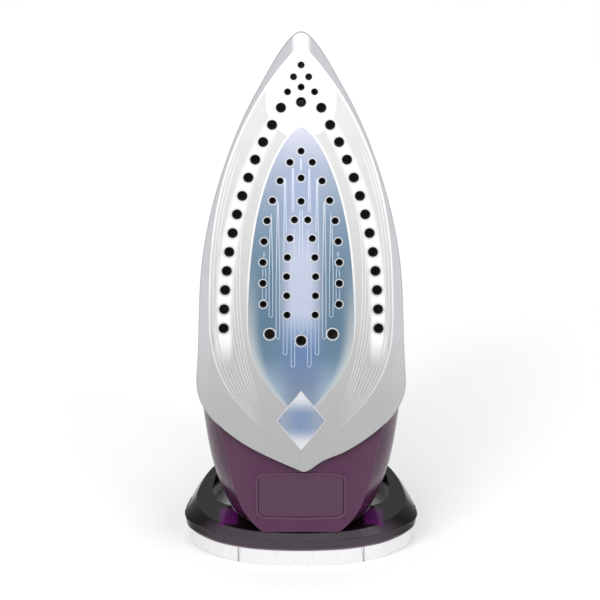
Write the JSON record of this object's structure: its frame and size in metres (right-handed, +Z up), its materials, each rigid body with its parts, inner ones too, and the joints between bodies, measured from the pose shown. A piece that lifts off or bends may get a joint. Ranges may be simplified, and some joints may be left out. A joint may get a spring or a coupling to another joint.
{
  "type": "clothes iron",
  "caption": "Steam iron standing on its heel: perforated enamel sole, purple casing, smoked water tank, loop handle, dial, buttons, filler door and swivelling cord inlet.",
  "frame": {"origin": "centre of the heel, on the plane that the iron stands on", "axes": "+Z up when the iron stands on its heel, -Y the way the sole faces, X across the sole"},
  "size_m": [0.13, 0.193, 0.3002],
  "materials": {
    "sole_enamel": "smooth light enamel",
    "cast_aluminium": "as cast",
    "steel": "zinc plated",
    "brass": "turned",
    "ceramic": "glazed steatite",
    "silicone": "moulded silicone",
    "purple_plastic": "satin moulded",
    "smoked_tank": "clear smoked",
    "white_plastic": "gloss moulded",
    "grey_plastic": "fine texture",
    "soft_rubber": "soft touch",
    "clear_lens": "clear amber",
    "wire_red": "heat resistant sleeve"
  },
  "bodies": {
    "iron_body": {"bimetal_blade": "brass", "chamber_cover": "cast_aluminium", "chamber_seal": "silicone", "cord_socket": "grey_plastic", "cover_screws": "steel", "door_pin": "steel", "filler_duct": "white_plastic", "fuse_clip": "steel", "handle_cover": "purple_plastic", "handle_housing": "white_plastic", "handle_screws": "steel", "heater_pins": "steel", "heating_base": "cast_aluminium", "heating_element": "steel", "heel_base": "white_plastic", "heel_cover": "white_plastic", "heel_ring": "smoked_tank", "heel_screws": "steel", "indicator_lamp": "clear_lens", "indicator_lens": "clear_lens", "label_plate": "purple_plastic", "lead_wires": "wire_red", "nozzle_tip": "brass", "shaft_sleeve": "smoked_tank", "shot_pump": "white_plastic", "shot_spring": "steel", "shot_tube": "silicone", "skirt": "purple_plastic", "soft_grip": "soft_rubber", "soleplate": "sole_enamel", "spray_hose": "silicone", "spray_nozzle": "grey_plastic", "spray_pump": "white_plastic", "spray_spring": "steel", "suction_hose": "silicone", "tank_floor": "smoked_tank", "tank_seal": "silicone", "tank_shell": "smoked_tank", "terminal_block": "ceramic", "thermal_fuse": "ceramic", "thermostat": "ceramic", "thermostat_bracket": "steel", "valve_seat": "brass"},
    "dial": {"temperature_dial": "purple_plastic", "dial_shaft": "steel", "dial_index": "white_plastic"},
    "valve_cartridge": {"valve_collar": "grey_plastic"},
    "steam_control": {"steam_knob": "grey_plastic", "valve_rod": "brass"},
    "spray": {"spray_button": "grey_plastic", "spray_piston": "white_plastic"},
    "shot": {"shot_button": "grey_plastic", "shot_piston": "white_plastic"},
    "door": {"filler_door": "smoked_tank"},
    "inlet": {"cord_ball": "grey_plastic"}
  },
  "joints": [
    {"name": "dial_turn", "type": "hinge", "parent": "iron_body", "child": "dial", "pos_m": [0, 0.03577, 0.11315], "axis": [0, 0.9781, -0.2079], "range_deg": [0, 270]},
    {"name": "valve_pull", "type": "slide", "parent": "iron_body", "child": "valve_cartridge", "axis": [0, 0.9781, -0.2079], "range_m": [0, 0.14]},
    {"name": "steam_turn", "type": "hinge", "parent": "valve_cartridge", "child": "steam_control", "pos_m": [0, 0.12125, 0.15939], "axis": [0, 0.9781, -0.2079], "range_deg": [0, 90]},
    {"name": "spray_press", "type": "slide", "parent": "iron_body", "child": "spray", "axis": [0, -0.9781, 0.2079], "range_m": [0, 0.003], "stiffness_N_per_m": 900, "springref_m": -0.002, "deforming": ["spray_spring"]},
    {"name": "shot_press", "type": "slide", "parent": "iron_body", "child": "shot", "axis": [0, -0.9781, 0.2079], "range_m": [0, 0.003], "stiffness_N_per_m": 900, "springref_m": -0.002, "deforming": ["shot_spring"]},
    {"name": "door_open", "type": "hinge", "parent": "iron_body", "child": "door", "pos_m": [0, 0.11997, 0.19412], "axis": [-1, 0, 0], "range_deg": [0, 75]},
    {"name": "inlet_swivel", "type": "hinge", "parent": "iron_body", "child": "inlet", "pos_m": [0, 0.0732, 0.02954], "axis": [1, 0, 0], "range_deg": [-24, 24]}
  ]
}
